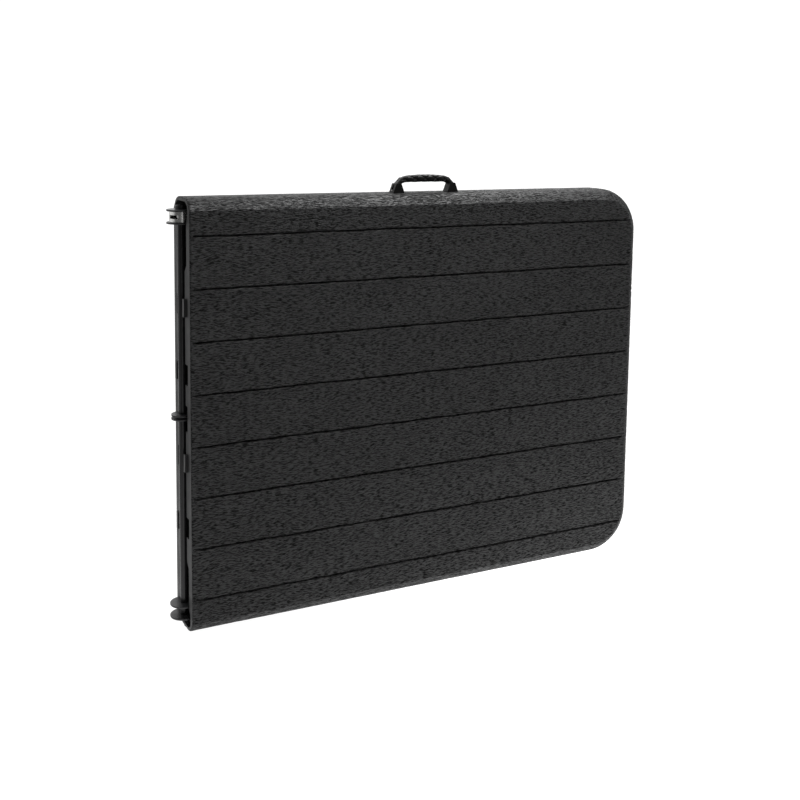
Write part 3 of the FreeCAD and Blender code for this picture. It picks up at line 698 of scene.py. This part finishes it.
def grip_path(steps):
    """(x, z, lean) along half the sleeve: nearly straight, then bent down to its foot."""
    straight, bend_radius, end_lean = 38.0, 19.0, math.radians(50)
    gentle = 0.0017
    length = straight + bend_radius * (end_lean - gentle * straight)
    points = []
    x = z = lean = 0.0
    for k in range(steps + 1):
        points.append((x, z, lean))
        x += math.cos(lean) * length / steps
        z -= math.sin(lean) * length / steps
        gone = length * (k + 1) / steps
        lean = gentle * min(gone, straight) + max(0.0, gone - straight) / bend_radius
    return points


def grip_mesh():
    """Handle sleeve with a braided relief, swept along the strap."""
    low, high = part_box("handle_grip")
    centre = (low + high) / 2
    half_y = (high.y - low.y) / 2 * MM_PER_M
    half_path = grip_path(GRIP_STEPS)
    path = [(-x, z, -lean) for x, z, lean in reversed(half_path)] + half_path[1:]
    bm = bmesh.new()
    rings = []
    for i, (x, z, lean) in enumerate(path):
        t = i / (len(path) - 1)
        taper = 1 - GRIP_TAPER * abs(2 * t - 1) ** 2.5
        end = min(1.0, min(i, len(path) - 1 - i) / GRIP_END_RINGS)
        run = t * BRAID_TURNS
        ring = []
        for k in range(GRIP_SIDES):
            a = 2 * math.pi * k / GRIP_SIDES
            cy = math.copysign(abs(math.cos(a)) ** GRIP_SQUARENESS, math.cos(a))
            cz = math.copysign(abs(math.sin(a)) ** GRIP_SQUARENESS, math.sin(a))
            lane = a / (2 * math.pi) * BRAID_LANES
            first = abs(math.sin(math.pi * (BRAID_SLANT * run + lane) / 2))
            second = abs(math.sin(math.pi * (BRAID_SLANT * run - lane) / 2))
            over = math.sin(BRAID_SLANT * math.pi * run) * math.sin(math.pi * lane)
            gap = 1 - min(1.0, (first * second) ** 0.7 * 1.5)
            side_share = 0.15 + 0.85 * abs(math.cos(a))
            dent = (BRAID_GAP * gap + BRAID_CROWN * over) * end * side_share
            out_y = cy * (half_y * taper - GRIP_SKIN - dent)
            out_z = cz * (GRIP_HALF_HEIGHT * taper - GRIP_SKIN - dent)
            up = z - GRIP_HALF_HEIGHT + math.cos(lean) * out_z
            ring.append(bm.verts.new((centre.x + (x + math.sin(lean) * out_z) * MM,
                                      centre.y + out_y * MM,
                                      high.z + up * MM)))
        rings.append(ring)
    for a, b in zip(rings[:-1], rings[1:]):
        for k in range(GRIP_SIDES):
            after = (k + 1) % GRIP_SIDES
            bm.faces.new((a[k], a[after], b[after], b[k]))
    bm.faces.new(rings[0][::-1])
    bm.faces.new(rings[-1])
    bmesh.ops.recalc_face_normals(bm, faces=bm.faces)
    mesh = bpy.data.meshes.new("handle_grip_braided")
    bm.to_mesh(mesh)
    bm.free()
    return mesh


build_tabletop("near_tabletop", "near_half", NEAR_SEED, False)
build_tabletop("far_tabletop", "far_half", FAR_SEED, True)

add_piece("handle_grip_braided", grip_mesh(), "near_half", "handle_grip", "handle_plastic",
          math.radians(60))
softened("handle_feet", "near_half", "handle_plastic", 0.0016, 3)
softened("handle_strap", "near_half", "handle_strap", 0.0010)
softened("hinge_bracket", "near_half", "zinc_plate", 0.0004)
for side in ("near", "far"):
    half = side + "_half"
    softened(side + "_end_hinge_plates", half, "hinge_steel", 0.0006)
    softened(side + "_middle_hinge_plate", half, "hinge_steel", 0.0005)
    softened(side + "_leg_pivot_brackets", half, "hinge_steel", 0.0004)
    softened(side + "_brace_anchors", half, "hinge_steel", 0.0004)
    softened(side + "_rail_end_caps", half, "cap_plastic", 0.0008)

for node in NODES.values():
    for index, old in enumerate(list(node.data.materials)):
        if old is not None and old.name.split(".")[0] in MATERIALS:
            node.data.materials[index] = MATERIALS[old.name.split(".")[0]]


# ------------------------------------------------------ stage and light

def add_floor():
    """A pale floor, white to the camera, whose own glow depends on the place."""
    size = 14.0
    mesh = bpy.data.meshes.new("floor")
    mesh.from_pydata([(-size, -size, 0), (size, -size, 0), (size, size, 0), (-size, size, 0)],
                     [], [(0, 1, 2, 3)])
    floor = bpy.data.objects.new("floor", mesh)
    bpy.context.scene.collection.objects.link(floor)
    material, tree, shader = new_material("pale_floor")
    shader.inputs["Base Color"].default_value = (0.16, 0.16, 0.16, 1)
    shader.inputs["Roughness"].default_value = 0.85
    shader.inputs["Specular IOR Level"].default_value = 0.2
    shader.inputs["Emission Color"].default_value = (1, 1, 1, 1)
    path = tree.nodes.new("ShaderNodeLightPath")
    place = tree.nodes.new("ShaderNodeTexCoord")
    split = tree.nodes.new("ShaderNodeSeparateXYZ")
    link(tree, place.outputs["Object"], split.inputs[0])
    near = spread(tree, split.outputs["Y"], -0.80, -0.05, 0.0, 1.5)
    front = spread(tree, split.outputs["Y"], 0.0, 0.08, 1.0, 0.0)
    right = spread(tree, split.outputs["X"], -0.7, 0.6, 0.4, 1.25)
    lit = math_node(tree, "MULTIPLY", math_node(tree, "MULTIPLY", near, front), right)
    beside = math_node(tree, "MULTIPLY", spread(tree, split.outputs["X"], -1.3, -0.5, 0.0, 0.9),
                       spread(tree, split.outputs["X"], -0.47, -0.44, 1.0, 0.0))
    behind = spread(tree, split.outputs["Y"], 0.4, 1.4, 0.0, 0.45)
    lit = math_node(tree, "MAXIMUM", lit, math_node(tree, "MAXIMUM", beside, behind))
    glow = math_node(tree, "MAXIMUM", path.outputs["Is Camera Ray"], lit)
    link(tree, glow, shader.inputs["Emission Strength"])
    mesh.materials.append(material)


def add_softbox(name, place, target, size, power):
    data = bpy.data.lights.new(name, "AREA")
    data.shape = "RECTANGLE"
    data.size = size[0]
    data.size_y = size[1]
    data.energy = power
    lamp = bpy.data.objects.new(name, data)
    lamp.location = place
    lamp.rotation_euler = (Vector(target) - Vector(place)).to_track_quat("-Z", "Y").to_euler()
    bpy.context.scene.collection.objects.link(lamp)


def add_sky():
    """Bright above, behind and at the fold end's side, dim in front of the table."""
    world = bpy.data.worlds.new("studio")
    world.use_nodes = True
    bpy.context.scene.world = world
    tree = world.node_tree
    background = tree.nodes["Background"]
    place = tree.nodes.new("ShaderNodeTexCoord")
    split = tree.nodes.new("ShaderNodeSeparateXYZ")
    link(tree, place.outputs["Generated"], split.inputs[0])
    above = spread(tree, split.outputs["Z"], 0.55, 0.95, 0.02, 0.75)
    behind = spread(tree, split.outputs["Y"], 0.0, 0.6, 0.02, 1.1)
    sideways = math_node(tree, "MULTIPLY", split.outputs["X"], -0.77)
    backwards = math_node(tree, "MULTIPLY", split.outputs["Y"], 0.64)
    fold_side = spread(tree, math_node(tree, "ADD", sideways, backwards), 0.45, 0.85, 0.02, 0.75)
    path = tree.nodes.new("ShaderNodeLightPath")
    sides = math_node(tree, "MAXIMUM", math_node(tree, "MAXIMUM", above, behind), fold_side)
    strength = math_node(tree, "MAXIMUM", sides, path.outputs["Is Camera Ray"])
    link(tree, strength, background.inputs["Strength"])
    background.inputs["Color"].default_value = (1, 1, 1, 1)


def add_camera():
    data = bpy.data.cameras.new("camera")
    data.sensor_width = 36
    data.lens = 50
    data.shift_y = -0.2
    data.clip_end = 60
    camera = bpy.data.objects.new("camera", data)
    camera.location = (-0.9640, -1.7892, 0.8736)
    camera.rotation_euler = [math.radians(a) for a in (83.726, -0.732, -27.188)]
    bpy.context.scene.collection.objects.link(camera)
    bpy.context.scene.camera = camera


add_floor()
add_softbox("overhead", (0.65, -0.20, 2.1), (0.1, -0.05, 0.4), (2.2, 0.6), 50)
add_softbox("right_fill", (2.6, -2.2, 1.0), (0.2, 0, 0.4), (1.2, 1.6), 5)
add_sky()
add_camera()
bpy.context.scene.view_settings.view_transform = "Standard"
